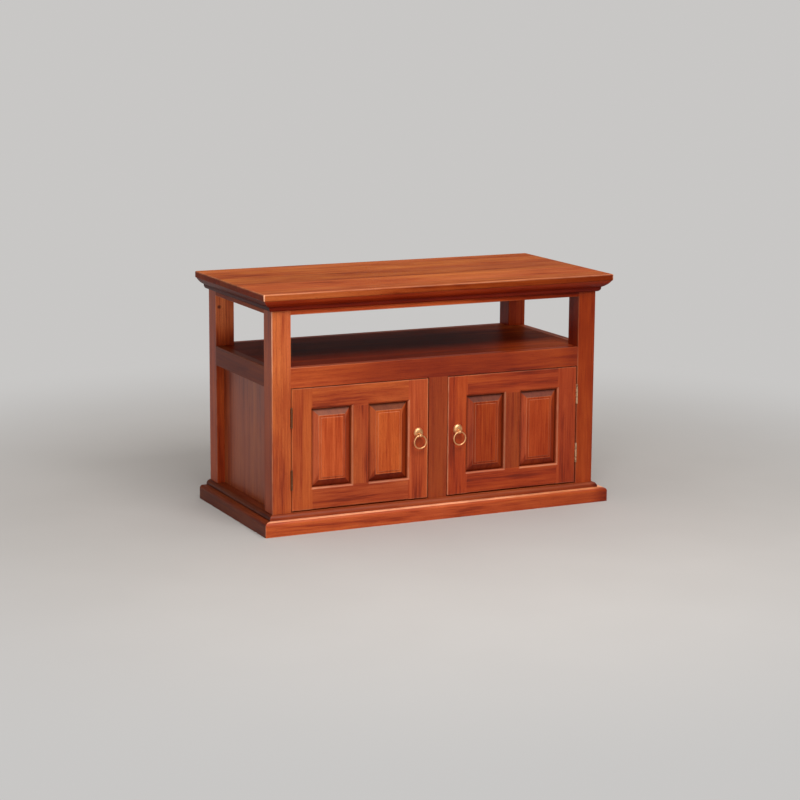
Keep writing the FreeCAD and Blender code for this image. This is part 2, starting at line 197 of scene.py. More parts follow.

# Stain colours, from the dark lines of the grain to the bright wood between them; the pale of the arrises,
# which is wear and on some a painted highlight; the dark of a knot's core and of painted shade in the panels'
# recesses;
# the grey of dusting and painted sheen on the bevels; and the powers by which green and blue fall off where a
# tone deepens
STAIN_DARK = (0.110, 0.011, 0.003)
STAIN_RED = (0.330, 0.038, 0.007)
STAIN_ROSE = (0.530, 0.104, 0.028)
STAIN_ORANGE = (0.565, 0.122, 0.024)
PALE_WEAR_AND_HIGHLIGHT = (0.860, 0.400, 0.220)
KNOT_AND_SHADE_DARK = (0.060, 0.007, 0.002)
DUST_AND_SHEEN = (0.200, 0.105, 0.080)
GREEN_FALL = 1.8
BLUE_FALL = 2.7

# Bright and dull colours of the metals and the plastic, then pale and dark ones of the plainer woods
PULL_BRASS = (0.91, 0.50, 0.235), (0.63, 0.31, 0.13)
HINGE_BRASS = (0.74, 0.50, 0.30), (0.20, 0.09, 0.045)
ZINC = (0.70, 0.69, 0.66), (0.52, 0.52, 0.51)
CATCH_BROWN = (0.075, 0.040, 0.024), (0.045, 0.024, 0.015)
PINE = (0.50, 0.32, 0.17), (0.33, 0.19, 0.09)
PLY = (0.30, 0.11, 0.055), (0.17, 0.055, 0.028)

# Tarnish of the brass: the range of its patches, what the left half adds, and where on X that starts and ends
TARNISH_RANGE = (0.45, 0.75)
LEFT_TARNISH = 0.34
LEFT_HALF = (-0.1, -0.3)

# Figure of the lacquered wood, from broad bands to pores, and of the plainer woods
BANDS = Figure(1.2, 12.0, share=0.6)
CLOUDS = Figure(8.0, 22.0, share=0.5)
RIBBONS = Figure(2.4, 52.0, share=0.6)
STREAKS = Figure(4.5, 170.0, detail=3.0, rough=0.6, share=0.65)
FIBRES = Figure(18.0, 620.0, share=0.55)
PORES = Figure(130.0, 2300.0, detail=1.0)
WARP = Figure(1.6, 7.0, detail=1.5)
HUES = Figure(1.1, 9.0, detail=1.0)
PLAIN_STREAKS = Figure(4.0, 90.0, detail=3.0, rough=0.6)
PLAIN_PORES = Figure(90.0, 1700.0, detail=1.0)

# Growth rings: cells per metre on the two axes across the grain, their warp, their sharpness and their depth
RING_CELLS = (46.0, 31.0)
RING_WARP = 6.0
RING_POWER = 4.0
RING_DEPTH = 0.07
MIDDLE_TONE = 0.515

# Stain over the figure: the ranges over which noise turns into a mask, and how strongly each mask shows
BRIGHT_RANGE = (0.20, 0.86)
LINE_RANGE = (0.08, 0.38)
LINE_SHARE = 0.7
PORE_RANGE = (0.62, 0.72)
PORE_SHARE = 0.5
PORE_TONE = 0.6
HUE_RANGE = (0.35, 0.65)
STREAK_RANGE = (0.35, 0.65)
PATCH_RANGE = (0.36, 0.62)
PATCH_CELLS = 24.0
# How the pale of the arrises, wear with painted highlights on some, breaks up: in patches, along streaks and
# all over
PALE_IN_PATCHES = 0.35
PALE_IN_STREAKS = 0.40
PALE_EVERYWHERE = 0.33

# Planks: where a glue line starts to fade and ends, in metres from the joint, and how strongly it shows;
# then the spread of the planks' tones and the shifts of their figure
GLUE_RANGE = (0.0002, 0.0010)
GLUE_SHARE = 0.45
PLANK_SPREAD = 0.30
PLANK_SHIFT_X = 9.0
PLANK_SHIFT_Z = 3.7

# Depths in metres over which the tone of one face ends, and over which a door's paint ends at its back
FACE_SKIN = (0.0006, 0.0022)
BACK_SKIN = (0.0003, 0.0012)

# Door panels, in metres from the opening: the frame's splay outwards, the panel's ledge and field inwards;
# then the widths of lines and blurs, and how strongly show the wear, the painted highlight on the splay, the
# dusting with painted sheen, and the painted shade in the groove and below the field's step
SPLAY_EDGE = 0.004
LEDGE_EDGE = -0.018
FIELD_EDGE = -0.024
EDGE_LINE = 0.0012
LEDGE_WEAR = 0.22
FIELD_WEAR = 0.28
# Painted highlight along the lit lower right half of the frame's splay: its width and strength
SPLAY_LINE = 0.0026
SPLAY_HIGHLIGHT = 0.42
BEVEL_BLUR = 0.001
MITRE_BLUR = 0.0005
# Dusting and painted sheen on the bevels, most on the upper ones
TOP_DUST_AND_SHEEN = 0.55
EVEN_DUST_AND_SHEEN = 0.14
# Painted shade in the groove round a panel and a painted shadow below its field's step
GROOVE_SHADE = 0.008
STEP_SHADOW = 0.4
STEP_OFFSET = 0.0022
STEP_LINE = 0.0016
RECESS_SHADE_SHARE = 0.7

# Blur between the lit and the dark half of an opening, as a share of half its size
HALF_BLUR = 0.05

# Knot in the front of the rear left post, in metres: its radius and its core's, its distance from the post's
# left and its height; its share is how strongly it shows
KNOT_RADIUS = 0.007
KNOT_CORE = 0.3 * KNOT_RADIUS
KNOT_SHARE = 0.85
KNOT_FROM_LEFT = 0.010
KNOT_HEIGHT = 0.512

# Lacquer: its weight and its roughness; then the shine and the roughness of the wood below it, what streaks
# add to that roughness, and the relief: its strength, its depth in metres and the share of the fibres in it
COAT = 0.14
COAT_ROUGHNESS = 0.22
SPECULAR = 0.20
WOOD_ROUGHNESS = 0.38
STREAK_ROUGHNESS = 0.12
RELIEF_STRENGTH = 0.18
RELIEF_DEPTH = 0.0004
FIBRE_RELIEF = 0.5

# Random draws: the seed, the reach of a board's place in the noise and the spread of its tone
WOOD_SEED = 7
SEED_REACH = 40.0
TONE_SPREAD = 0.03

# Painted shade and light along the boards of the front, mostly darker towards the right end, and a painted
# shadow of the top on every cornice
FRONT_PAINTED_SHADE = {
    "frieze_rail": (Shade(X, -0.02, 0.38, 0.40),),
    "mid_rail": (Shade(X, -0.40, -0.10, 0.58), Shade(X, 0.10, 0.28, 1.24), Shade(X, 0.34, 0.40, 0.75)),
    "cornice": (Shade(X, 0.10, 0.40, 0.82),),
    "plinth": (Shade(X, 0.05, 0.45, 0.74), Shade(X, 0.43, 0.478, 0.62)),
    "plinth_bead": (Shade(X, 0.44, 0.463, 0.45),),
}
CORNICE_SHADOW = Shade(Z, 0.583, 0.563, 0.47)

# The plinth and its bead have a tone for each side; the low tones on the left are painted shade. On the left
# the rails and the cornice get painted shade, the frieze a little less, and the lower pieces are duller
PLINTH_TONES = {"front": 1.20, "left": 0.34, "right": 1.05}
BEAD_TONES = {"front": 0.60, "left": 0.24, "right": 0.90}
LEFT_PAINTED_SHADE = 0.42
LEFT_FRIEZE_PAINTED_SHADE = 0.58
LEFT_GLOSS = 0.5

# The right door is darker, partly as painted shade, and redder than the left
DOOR_LOOKS = {
    "left": DoorLook(
        tone=0.97, orange=0.95, muntin=0.92, bottom_rail=0.90, outer_panel=1.10, inner_panel=1.10,
        outer_bevels=Bevels(lit=0.92, dark=0.64, loss=0.20, dust_and_sheen=1.0),
        inner_bevels=Bevels(lit=0.92, dark=0.52, loss=0.16, dust_and_sheen=0.42),
    ),
    "right": DoorLook(
        tone=0.84, orange=0.75, muntin=0.76, bottom_rail=1.03, outer_panel=1.02, inner_panel=0.92,
        outer_bevels=Bevels(lit=1.24, dark=0.84, loss=0.10, dust_and_sheen=0.36),
        inner_bevels=Bevels(lit=1.24, dark=0.80, loss=0.10, dust_and_sheen=0.36),
    ),
}

# Screw heads, in metres; the dome and the slot's depth are shares of the height, the foot one of the width
SCREW_RADIUS = 0.0030
SCREW_HEIGHT = 0.0012
SCREW_SLOT = 0.0008
SCREW_DOME = 0.25
SLOT_DEPTH = 0.5
SCREW_FOOT = 0.8
SCREW_SECTIONS = 12
SCREW_POINTS = 7

# Places of the screws: along a hinge leaf as a share and aside from its middle in metres, and along a strike
# as a share. A slot's turn in radians is that share times a number, so that neighbours differ
HINGE_LENGTH = 0.050
HINGE_SCREWS = ((0.18, 0.0025), (0.5, -0.0025), (0.82, 0.0025))
HINGE_SCREW_TURN = 9.0
STRIKE_SCREWS = (0.2, 0.8)
STRIKE_SCREW_TURN = 5.0
STRIKE_SCREW_SINK = 0.00015

# Nuts and washers of the pulls, in metres; the corner and the chamfer of a nut are shares of its size
NUT_ACROSS = 0.0080
NUT_HEIGHT = 0.0030
NUT_BORE = 0.0026
NUT_CORNER = 1.16
NUT_CHAMFER = 0.18
NUT_POINTS = 72
NUT_TURN = 0.3
WASHER_RADIUS = 0.0062
WASHER_HEIGHT = 0.0009
WASHER_SIDES = 40


class Wire:
    """An output socket. Arithmetic between wires and numbers adds Math nodes to the same tree."""

    def __init__(self, nodes, socket):
        self.nodes = nodes
        self.socket = socket

    def math(self, operation, *values):
        """A Math node on these values, in order."""
        return self.nodes.node("ShaderNodeMath", {"operation": operation}, dict(enumerate(values)))

    def __add__(self, other):
        return self.math("ADD", self, other)

    def __radd__(self, other):
        return self.math("ADD", other, self)

    def __sub__(self, other):
        return self.math("SUBTRACT", self, other)

    def __rsub__(self, other):
        return self.math("SUBTRACT", other, self)

    def __mul__(self, other):
        return self.math("MULTIPLY", self, other)

    def __rmul__(self, other):
        return self.math("MULTIPLY", other, self)

    def __truediv__(self, other):
        return self.math("DIVIDE", self, other)

    def __rtruediv__(self, other):
        return self.math("DIVIDE", other, self)

    def __pow__(self, other):
        return self.math("POWER", self, other)

    def __rpow__(self, other):
        return self.math("POWER", other, self)

    def __abs__(self):
        return self.math("ABSOLUTE", self)

    def least(self, other):
        """The smaller of two values."""
        return self.math("MINIMUM", self, other)

    def most(self, other):
        """The larger of two values."""
        return self.math("MAXIMUM", self, other)

    def rise(self, low, high):
        """0 at one value, 1 at another, and a smooth step between them, whichever of the two is larger."""
        sockets = {"Value": self, "From Min": low, "From Max": high}
        return self.nodes.node("ShaderNodeMapRange", {"interpolation_type": "SMOOTHSTEP"}, sockets)

    def line(self, value, width):
        """1 where this equals a value, fading to 0 over a width on both sides."""
        return 1.0 - abs(self - value).rise(0.25 * width, width)


class Nodes:
    """The node tree of a material or of the world, with its coordinates as wires."""

    def __init__(self, owner, coordinates="Object"):
        owner.use_nodes = True
        self.owner = owner
        self.tree = owner.node_tree
        self.tree.nodes.clear()
        self.place = self.node("ShaderNodeTexCoord", output=coordinates)
        self.axes = [self.node("ShaderNodeSeparateXYZ", {}, {0: self.place}, axis) for axis in (X, Y, Z)]

    def node(self, kind, settings=None, sockets=None, output=0):
        """Any node: its settings first, then the values or links of its sockets. Gives one output."""
        made = self.tree.nodes.new(kind)
        for name, value in (settings or {}).items():
            setattr(made, name, value)
        for name, value in (sockets or {}).items():
            if isinstance(value, Wire):
                self.tree.links.new(value.socket, made.inputs[name])
            else:
                made.inputs[name].default_value = value
        if len(made.outputs) > 0:
            return Wire(self, made.outputs[output])
        return None

    def mix(self, share, first, second):
        """A Mix node between two colours."""
        return self.node("ShaderNodeMix", {"data_type": "RGBA"}, {0: share, 6: first, 7: second}, 2)

    def noise(self, cells, seed=(0.0, 0.0, 0.0), detail=2.0, rough=0.5, place=None):
        """Noise with its own number of cells per metre along each axis."""
        sockets = {"Vector": place or self.place, "Location": seed, "Scale": cells}
        drawn = self.node("ShaderNodeMapping", {}, sockets)
        sockets = {"Vector": drawn, "Scale": 1.0, "Detail": detail, "Roughness": rough}
        return self.node("ShaderNodeTexNoise", {}, sockets)

    def figured(self, figure, grain, seed, place=None):
        """Noise of one scale of the wood's figure, drawn out along the grain."""
        cells = [figure.across, figure.across, figure.across]
        cells[grain] = figure.along
        return self.noise(cells, seed, figure.detail, figure.rough, place)

    def shaded(self, colour, strength):
        """A colour multiplied by a wire."""
        sockets = {"Vector": colour, "Scale": strength}
        return self.node("ShaderNodeVectorMath", {"operation": "SCALE"}, sockets)

    def deepened(self, colour, strength):
        """A colour multiplied by a wire, in which green and blue fall off faster than red."""
        sockets = {X: strength, Y: strength ** GREEN_FALL, Z: strength ** BLUE_FALL}
        cast = self.node("ShaderNodeCombineXYZ", {}, sockets)
        return self.node("ShaderNodeVectorMath", {"operation": "MULTIPLY"}, {0: colour, 1: cast})

    def along(self, shade):
        """The factor of a shade at every place: 1 up to its start, and its own factor past its end."""
        return 1.0 - self.axes[shade.axis].rise(shade.start, shade.end) * (1.0 - shade.factor)

    def relief(self, height, strength, distance):
        """A normal that follows a height, with the distance in metres that 1 stands for."""
        sockets = {"Height": height, "Strength": strength, "Distance": distance}
        return self.node("ShaderNodeBump", {}, sockets)

    def surface(self, sockets):
        """Ends a material in a Principled shader with these socket values or links."""
        shader = self.node("ShaderNodeBsdfPrincipled", {}, sockets)
        return self.output("ShaderNodeOutputMaterial", shader)

    def output(self, kind, shader):
        """Links a shader to the output of the tree and gives back the tree's owner."""
        self.node(kind, {}, {"Surface": shader})
        return self.owner


def material_nodes(name):
    """The empty node tree of a new material."""
    return Nodes(bpy.data.materials.new(name))


def rgba(colour, strength=1.0):
    """A colour made brighter or darker, with full alpha."""
    return tuple(strength * value for value in colour) + (1.0,)


def face_gap(nodes, box, face):
    """Depth below one face of a box."""
    low, high = box
    axis, far = face
    if far:
        return high[axis] - nodes.axes[axis]
    return nodes.axes[axis] - low[axis]


def highest(wires):
    """The largest of several wires."""
    top = wires[0]
    for wire in wires[1:]:
        top = top.most(wire)
    return top


def arris_wear_and_highlight(nodes, box, board):
    """Wear, and on some a painted highlight, on each of a board's listed arrises: full at the surface and
    gone below the board's reach.
    """
    wear_and_highlight_masks = []
    for first, second, wear in board.arrises:
        gap = face_gap(nodes, box, first).most(face_gap(nodes, box, second))
        wear_and_highlight_masks.append((1.0 - gap.rise(*board.reach)) * wear)
    return wear_and_highlight_masks


def opening_gap(nodes, opening):
    """Distance outwards from a door opening, negative inside it, and three masks.

    The masks are 1 in the lower right half, above the mitres at the top, and below the mitres at the foot.
    """
    left, right, bottom, top = opening
    half_width = (right - left) / 2.0
    half_height = (top - bottom) / 2.0
    across = nodes.axes[X] - (left + half_width)
    up = nodes.axes[Z] - (bottom + half_height)
    past_side = abs(across) - half_width
    past_end = abs(up) - half_height
    gap = past_side.most(past_end)
    lower = (across / half_width - up / half_height).rise(-HALF_BLUR, HALF_BLUR)
    upper = (up - half_height - past_side).rise(-MITRE_BLUR, MITRE_BLUR)
    foot = (0.0 - up - half_height - past_side).rise(-MITRE_BLUR, MITRE_BLUR)
    return gap, lower, upper, foot


def glued_planks(nodes, box, count, seed):
    """Planks side by side across the depth: each one's place in the noise and random share, and the glue."""
    low, high = box
    width = (high[Y] - low[Y]) / count
    across = (nodes.axes[Y] - low[Y]) / width + 0.5
    index = across.math("FLOOR", across)
    settings = {"noise_dimensions": "1D"}
    share = nodes.node("ShaderNodeTexWhiteNoise", settings, {"W": index + seed[X]}, "Value")
    part = across - index
    glue = 1.0 - (part.least(1.0 - part) * width).rise(*GLUE_RANGE)
    x, y, z = nodes.axes
    sockets = {X: x + share * PLANK_SHIFT_X, Y: y, Z: z + index * PLANK_SHIFT_Z}
    return nodes.node("ShaderNodeCombineXYZ", {}, sockets), share, glue


def wood_grain(nodes, place, grain, seed):
    """Tone of the grain round 0.5, and the streaks, fibres and pores in it.

    The tone adds up noise at five scales and takes away growth rings: a triangle wave across the grain, bent
    by a slow warp and sharpened by a power.
    """
    bands = nodes.figured(BANDS, grain, seed, place)
    clouds = nodes.figured(CLOUDS, grain, seed[::-1], place)
    ribbons = nodes.figured(RIBBONS, grain, seed[::-1], place)
    streaks = nodes.figured(STREAKS, grain, seed, place)
    fibres = nodes.figured(FIBRES, grain, seed, place)
    pores = nodes.figured(PORES, grain, seed, place).rise(*PORE_RANGE)
    warp = nodes.figured(WARP, grain, seed, place)
    first, second = [nodes.axes[axis] for axis in (X, Y, Z) if axis != grain]
    wave = first * RING_CELLS[0] + second * RING_CELLS[1] + warp * RING_WARP
    rings = (wave.math("PINGPONG", wave, 0.5) * 2.0) ** RING_POWER
    tone = MIDDLE_TONE - rings * RING_DEPTH
    scales = ((BANDS, bands), (CLOUDS, clouds), (RIBBONS, ribbons), (STREAKS, streaks), (FIBRES, fibres))
    for figure, drawn in scales:
        tone = tone + (drawn - 0.5) * figure.share
    return tone, streaks, fibres, pores


def stain(nodes, board, grain_tone, hue, pores):
    """Stain that is deep red in dark grain and rose to orange in bright grain, with dark lines and pores."""
    cast = (1.0, board.orange, board.orange * min(board.orange, 1.0))
    deep, rose, orange = [
        rgba([part * value for part, value in zip(cast, colour)], board.tone)
        for colour in (STAIN_RED, STAIN_ROSE, STAIN_ORANGE)
    ]
    colour = nodes.mix(grain_tone.rise(*BRIGHT_RANGE), deep, nodes.mix(hue, rose, orange))
    lines = (0.5 - grain_tone).rise(*LINE_RANGE)
    colour = nodes.mix(lines * LINE_SHARE, colour, rgba(STAIN_DARK, board.tone))
    return nodes.mix(pores * PORE_SHARE, colour, rgba(STAIN_DARK, PORE_TONE * board.tone))


def toned_faces(nodes, box, board, colour):
    """Tones on single faces of a board, each in a thin skin below its face. Most are painted shade on faces
    turned from the light, and a few painted light.
    """
    for face, axis, start, end, first, last in board.faces:
        skin = 1.0 - face_gap(nodes, box, face).rise(*FACE_SKIN)
        change = nodes.axes[axis].rise(start, end) * (last - first) + (first - 1.0)
        colour = nodes.deepened(colour, skin * change + 1.0)
    return colour


def knotted(nodes, centre, colour):
    """A dark round knot, by the distance from its centre."""
    sockets = {0: nodes.place, 1: centre}
    distance = nodes.node("ShaderNodeVectorMath", {"operation": "DISTANCE"}, sockets, "Value")
    return nodes.mix(distance.rise(KNOT_RADIUS, KNOT_CORE) * KNOT_SHARE, colour, rgba(KNOT_AND_SHADE_DARK))


def bevelled(nodes, board, front, sides, colour):
    """Dusting and painted sheen on a door panel's bevels, painted light and shade on them, and painted shade
    along its groove and below the step of its field.
    """
    gap, lower, upper, foot = sides
    lit, dark, loss, dust_and_sheen = board.bevels
    bevel = gap.rise(LEDGE_EDGE - BEVEL_BLUR, LEDGE_EDGE + BEVEL_BLUR) * front
    # Dusting and painted sheen, most on the upper bevels
    dust_and_sheen_mask = bevel * (upper * TOP_DUST_AND_SHEEN + EVEN_DUST_AND_SHEEN)
    colour = nodes.mix(dust_and_sheen_mask, colour, rgba(DUST_AND_SHEEN, dust_and_sheen * board.tone))
    # Painted light on the upper left bevels, painted shade on the lower right ones and more on the lowest
    colour = nodes.deepened(colour, 1.0 + bevel * (lower * (dark - lit) - foot * loss + (lit - 1.0)))
    # Painted shade in the groove and a painted shadow below the field's step
    groove = gap.rise(-GROOVE_SHADE, 0.0)
    step = gap.line(FIELD_EDGE + STEP_OFFSET, STEP_LINE) * STEP_SHADOW
    return nodes.mix(groove.most(step) * front * RECESS_SHADE_SHARE, colour, rgba(KNOT_AND_SHADE_DARK))


def round_openings(nodes, box, board, colour):
    """Colour of a door's board round its openings, the wear on panel edges, and a painted highlight on the
    lower right half of the frame's splay.
    """
    wear_and_highlight_masks = []
    for opening in board.openings:
        sides = opening_gap(nodes, opening)
        gap, lower = sides[:2]
        front = face_gap(nodes, box, REAR).rise(*BACK_SKIN)
        if board.bevels:
            wear_and_highlight_masks.append(gap.line(LEDGE_EDGE, EDGE_LINE) * front * LEDGE_WEAR)
            wear_and_highlight_masks.append(gap.line(FIELD_EDGE, EDGE_LINE) * front * FIELD_WEAR)
            colour = bevelled(nodes, board, front, sides, colour)
        else:
            # Painted highlight on the lit lower right half of the splay
            wear_and_highlight_masks.append(gap.line(0.5 * SPLAY_EDGE, SPLAY_LINE) * lower * front * SPLAY_HIGHLIGHT)
    return colour, wear_and_highlight_masks


def wear_and_highlight_share(nodes, board, wear_and_highlight_masks, streaks, seed):
    """How far the stain is paled by wear and painted highlights: more in patches and along streaks, and less
    where fading weakens it.
    """
    patches = nodes.noise((PATCH_CELLS, PATCH_CELLS, PATCH_CELLS), seed).rise(*PATCH_RANGE)
    broken = patches * PALE_IN_PATCHES + streaks.rise(*STREAK_RANGE) * PALE_IN_STREAKS + PALE_EVERYWHERE
    pale_share = highest(wear_and_highlight_masks) * broken
    for shade in board.fading:
        pale_share = pale_share * nodes.along(shade)
    return pale_share


def lacquered_wood(node, board, seed):
    """Stained wood under a clear lacquer, with pale arrises from wear and painted highlights, and painted
    light and shade round the door panels, along shades and on faces.
    """
    nodes = material_nodes("lacquer_" + node)
    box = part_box(node)
    place = nodes.place
    if board.planks:
        place, share, glue = glued_planks(nodes, box, board.planks, seed)
    grain_tone, streaks, fibres, pores = wood_grain(nodes, place, board.grain, seed)
    hue = nodes.figured(HUES, board.grain, seed[::-1], place).rise(*HUE_RANGE)
    colour = stain(nodes, board, grain_tone, hue, pores)
    if board.planks:
        colour = nodes.mix(glue * GLUE_SHARE, colour, rgba(STAIN_DARK, board.tone))
        colour = nodes.shaded(colour, share * PLANK_SPREAD + (1.0 - 0.5 * PLANK_SPREAD))
    # Tones on single faces, mostly painted light and shade
    colour = toned_faces(nodes, box, board, colour)
    if board.knot:
        colour = knotted(nodes, board.knot, colour)
    colour, wear_and_highlight_masks = round_openings(nodes, box, board, colour)
    wear_and_highlight_masks = wear_and_highlight_masks + arris_wear_and_highlight(nodes, box, board)
    coat_weight = COAT * board.gloss
    # Pale arrises: wear, and on some a painted highlight
    if wear_and_highlight_masks:
        pale_share = wear_and_highlight_share(nodes, board, wear_and_highlight_masks, streaks, seed)
        colour = nodes.mix(pale_share, colour, rgba(PALE_WEAR_AND_HIGHLIGHT, board.tone))
        coat_weight = coat_weight - pale_share * (0.5 * coat_weight)
    # Shades along an axis; most are painted light and shade
    for shade in board.shades:
        colour = nodes.deepened(colour, nodes.along(shade))
    return nodes.surface({
        "Base Color": colour,
        "Roughness": streaks * STREAK_ROUGHNESS + WOOD_ROUGHNESS,
        "Specular IOR Level": SPECULAR * board.gloss,
        "Coat Weight": coat_weight,
        "Coat Roughness": COAT_ROUGHNESS,
        "Normal": nodes.relief(fibres * FIBRE_RELIEF - pores, RELIEF_STRENGTH, RELIEF_DEPTH),
    })


def brass(name, tones, rough):
    """Brass that is a little tarnished in soft patches, more so on the left half of the stand."""
    bright, dull = tones
    nodes = material_nodes(name)
    patches = nodes.noise((160.0, 160.0, 160.0), detail=3.0)
    scratches = nodes.noise((900.0, 900.0, 140.0), seed=(2.0, 0.0, 0.0))
    tarnish = (patches + nodes.axes[X].rise(*LEFT_HALF) * LEFT_TARNISH).rise(*TARNISH_RANGE)
    return nodes.surface({
        "Base Color": nodes.mix(tarnish, rgba(bright), rgba(dull)),
        "Metallic": 1.0,
        "Roughness": scratches * 0.12 + patches * 0.10 + rough,
    })


def zinc():
    """Zinc-plated steel with a faint grain."""
    bright, dull = ZINC
    nodes = material_nodes("zinc_plate")
    spangle = nodes.noise((260.0, 260.0, 40.0), seed=(0.0, 3.0, 0.0))
    return nodes.surface({
        "Base Color": nodes.mix(spangle, rgba(dull), rgba(bright)),
        "Metallic": 1.0,
        "Roughness": spangle * 0.2 + 0.25,
    })


def catch_plastic():
    """Brown moulded plastic with a fine spark finish."""
    bright, dull = CATCH_BROWN
    nodes = material_nodes("catch_plastic")
    grit = nodes.noise((1800.0, 1800.0, 1800.0), seed=(0.0, 0.0, 5.0), detail=1.0)
    return nodes.surface({
        "Base Color": nodes.mix(grit, rgba(dull), rgba(bright)),
        "Roughness": grit * 0.15 + 0.42,
        "Normal": nodes.relief(grit, strength=0.3, distance=0.0001),
    })


def plain_wood(name, tones, rough):
    """Wood with little or no finish and its grain from left to right: streaks and pores only."""
    pale, dark = [rgba(tone) for tone in tones]
    nodes = material_nodes(name)
    streaks = nodes.figured(PLAIN_STREAKS, X, (1.0, 2.0, 3.0))
    pores = nodes.figured(PLAIN_PORES, X, (4.0, 0.0, 1.0)).rise(0.58, 0.70)
    colour = nodes.mix(streaks.rise(0.35, 0.70), dark, pale)
    return nodes.surface({
        "Base Color": nodes.mix(pores * PORE_SHARE, colour, dark),
        "Roughness": streaks * 0.15 + rough,
        "Normal": nodes.relief(streaks - pores, strength=0.3, distance=0.0004),
    })


def floor_finish():
    """A plain pale floor with a faint mottle, whose far part glows evenly for camera and mirror rays."""
    nodes = material_nodes("pale_floor")
    mottle = nodes.noise((3.0, 3.0, 3.0), detail=3.0)
    ground = nodes.node("ShaderNodeBsdfPrincipled", {}, {
        "Base Color": nodes.mix(mottle, rgba(FLOOR_SHADE), rgba(FLOOR_PALE)),
        "Roughness": mottle * 0.1 + 0.8,
        "Specular IOR Level": FLOOR_SPECULAR,
    })
    glow = nodes.node("ShaderNodeEmission", {}, {"Color": rgba(FAR_GLOW), "Strength": 1.0})
    x, y, z = nodes.axes
    far = ((x * x + y * y) ** 0.5 + z).rise(*GLOW_RANGE)
    mirrored = z.rise(MIRROR_TOP + MIRROR_FADE, MIRROR_TOP)
    seen = nodes.node("ShaderNodeLightPath", output="Is Camera Ray")
    for ray in ("Is Glossy Ray", "Is Transmission Ray"):
        seen = seen.most(nodes.node("ShaderNodeLightPath", output=ray) * mirrored)
    shader = nodes.node("ShaderNodeMixShader", {}, {0: far * seen, 1: ground, 2: glow})
    return nodes.output("ShaderNodeOutputMaterial", shader)


def grid_faces(rows, columns, wrap_rows, wrap_columns):
    """Quads between neighbouring points of a grid, joined round where a direction wraps."""
    row = np.arange(rows if wrap_rows else rows - 1)
    column = np.arange(columns if wrap_columns else columns - 1)
    row, column = np.meshgrid(row, column, indexing="ij")
    next_row = (row + 1) % rows
    next_column = (column + 1) % columns
    corners = [row * columns + column, next_row * columns + column,
               next_row * columns + next_column, row * columns + next_column]
    return np.stack(corners, axis=-1).reshape(-1, 4)


def full_turn(count):
    """Even angles round one full turn, as a column."""
    return np.linspace(0.0, 2.0 * np.pi, count, endpoint=False)[:, None]


def carried_round(radius, height, turn):
    """A profile carried round the Z axis: x = r cos t, y = r sin t, z = h, with a row for each angle t."""
    return np.stack(np.broadcast_arrays(radius * np.cos(turn), radius * np.sin(turn), height), axis=-1)


def piece(name, points, faces, material, smooth):
    """A mesh object from arrays of points and faces."""
    mesh = bpy.data.meshes.new(name)
    mesh.from_pydata(points.reshape(-1, 3).tolist(), [], faces)
    mesh.polygons.foreach_set("use_smooth", np.full(len(faces), smooth))
    mesh.materials.append(material)
    made = bpy.data.objects.new(name, mesh)
    bpy.context.collection.objects.link(made)
    return made


def screw_head():
    """A countersunk slotted head: closed sections across the slot, carried along Y.

    At y the section's half width is the root of r squared less y squared, as in a circle. Its upper side is
    a paraboloid dome, lowered in the slot, and its lower side is flat and narrower.
    """
    side = np.sin(np.linspace(-0.48, 0.48, SCREW_SECTIONS) * np.pi) * SCREW_RADIUS
    before = side[side < -SCREW_SLOT]
    after = side[side > SCREW_SLOT]
    slot = np.array([-0.5, -0.5, 0.5, 0.5]) * SCREW_SLOT
    along = np.concatenate([before, slot, after])[:, None]
    half = np.sqrt(SCREW_RADIUS ** 2 - along ** 2)
    upper = half * np.linspace(-1.0, 1.0, SCREW_POINTS)
    lower = upper[:, ::-1] * SCREW_FOOT
    dome = SCREW_DOME * SCREW_HEIGHT * (1.0 - (along ** 2 + upper ** 2) / SCREW_RADIUS ** 2)
    slot_rows = slice(len(before) + 1, len(before) + 3)
    dome[slot_rows] -= SLOT_DEPTH * SCREW_HEIGHT
    across = np.concatenate([upper, lower], axis=1)
    height = np.concatenate([dome, np.full_like(dome, -SCREW_HEIGHT)], axis=1)
    points = np.stack(np.broadcast_arrays(across, along, height), axis=-1)
    rows, columns = across.shape
    faces = grid_faces(rows, columns, False, True).tolist()
    faces.append(list(range(columns)))
    faces.append(list(range(rows * columns - 1, (rows - 1) * columns - 1, -1)))
    return points, faces


def nut():
    """A hexagon nut: a ring section carried round the Z axis.

    At an angle t from the middle of a flat, its outer radius is half the width across flats divided by
    cos t, and a cone trims the corners at both ends.
    """
    turn = full_turn(NUT_POINTS)
    half = NUT_ACROSS / 2.0
    flat = half / np.cos((turn + np.pi / 6.0) % (np.pi / 3.0) - np.pi / 6.0)
    trim = half * np.array([1.0, NUT_CORNER, NUT_CORNER, 1.0])
    outer = np.minimum(flat, trim)
    inner = np.full((NUT_POINTS, 2), NUT_BORE)
    radius = np.concatenate([outer, inner], axis=1)
    height = NUT_HEIGHT * np.array([0.0, NUT_CHAMFER, 1.0 - NUT_CHAMFER, 1.0, 1.0, 0.0])
    return carried_round(radius, height, turn), grid_faces(*radius.shape, True, True)


def washer():
    """A flat washer: a rectangular ring section carried round the Z axis."""
    radius = np.array([NUT_BORE, WASHER_RADIUS, WASHER_RADIUS, NUT_BORE])
    height = np.array([0.0, 0.0, WASHER_HEIGHT, WASHER_HEIGHT])
    points = carried_round(radius, height, full_turn(WASHER_SIDES))
    return points, grid_faces(WASHER_SIDES, len(radius), True, True)


def placed(shape, place, outward, twist=0.0):
    """Turns a shape's Z axis outwards, spins it about that axis and moves it to its place."""
    points, faces = shape
    turn = Vector(outward).to_track_quat("Z", "Y").to_matrix() @ Matrix.Rotation(twist, 3, "Z")
    return points @ np.array(turn).T + np.array(place), faces


